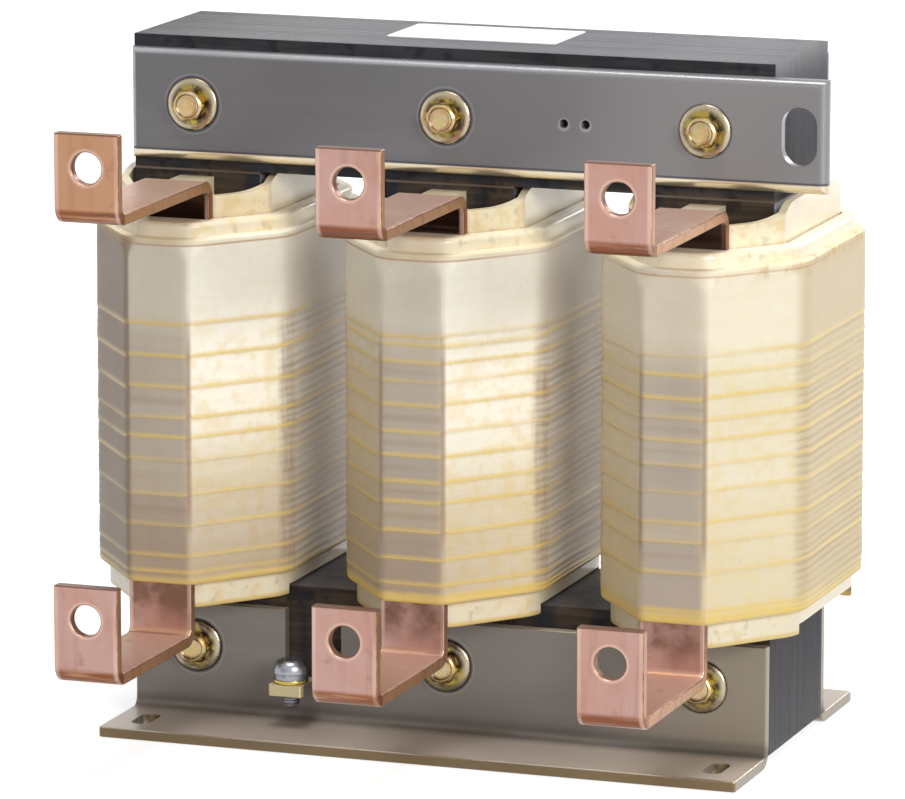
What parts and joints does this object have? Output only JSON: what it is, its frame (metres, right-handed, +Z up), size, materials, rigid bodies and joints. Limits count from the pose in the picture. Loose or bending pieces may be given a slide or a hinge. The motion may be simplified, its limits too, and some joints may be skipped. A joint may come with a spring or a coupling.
{
  "type": "three-phase load-side reactor",
  "caption": "Three-phase iron-core reactor on foot angles: taped coils side by side on a laminated core between steel clamps, copper lug terminals in front.",
  "frame": {"origin": "on the floor under the feet, in the middle of the outline box seen from above", "axes": "+Z up, +X along the core from the left coil to the right coil, -Y towards the terminals"},
  "size_m": [0.343, 0.264, 0.3133],
  "materials": {
    "core_lamination": "satin",
    "clamp_steel": "satin",
    "foot_steel": "satin",
    "yellow_zinc": "satin",
    "bright_zinc": "polished",
    "copper": "satin",
    "coil_tape": "matte",
    "coil_insulation": "matte",
    "former_resin": "satin",
    "insulation_board": "matte",
    "label_paper": "satin"
  },
  "bodies": {
    "root": {"core_e_stack": "core_lamination", "core_top_yoke": "core_lamination", "air_gap_plates": "insulation_board", "front_upper_clamp": "clamp_steel", "rear_upper_clamp": "clamp_steel", "front_lower_clamp": "foot_steel", "rear_lower_clamp": "foot_steel", "clamp_bolts": "yellow_zinc", "bolt_sleeves": "insulation_board", "front_washers": "yellow_zinc", "rear_washers": "yellow_zinc", "clamp_nuts": "yellow_zinc", "earth_screw": "bright_zinc", "earth_spring_washer": "bright_zinc", "earth_plain_washer": "yellow_zinc", "rating_label": "label_paper", "left_coil_former": "former_resin", "left_coil_spacers": "former_resin", "left_coil_inner_layer": "coil_insulation", "left_coil_outer_layer": "coil_tape", "left_upper_terminal": "copper", "left_lower_terminal": "copper", "middle_coil_former": "former_resin", "middle_coil_spacers": "former_resin", "middle_coil_inner_layer": "coil_insulation", "middle_coil_outer_layer": "coil_tape", "middle_upper_terminal": "copper", "middle_lower_terminal": "copper", "right_coil_former": "former_resin", "right_coil_spacers": "former_resin", "right_coil_inner_layer": "coil_insulation", "right_coil_outer_layer": "coil_tape", "right_upper_terminal": "copper", "right_lower_terminal": "copper"}
  },
  "joints": []
}
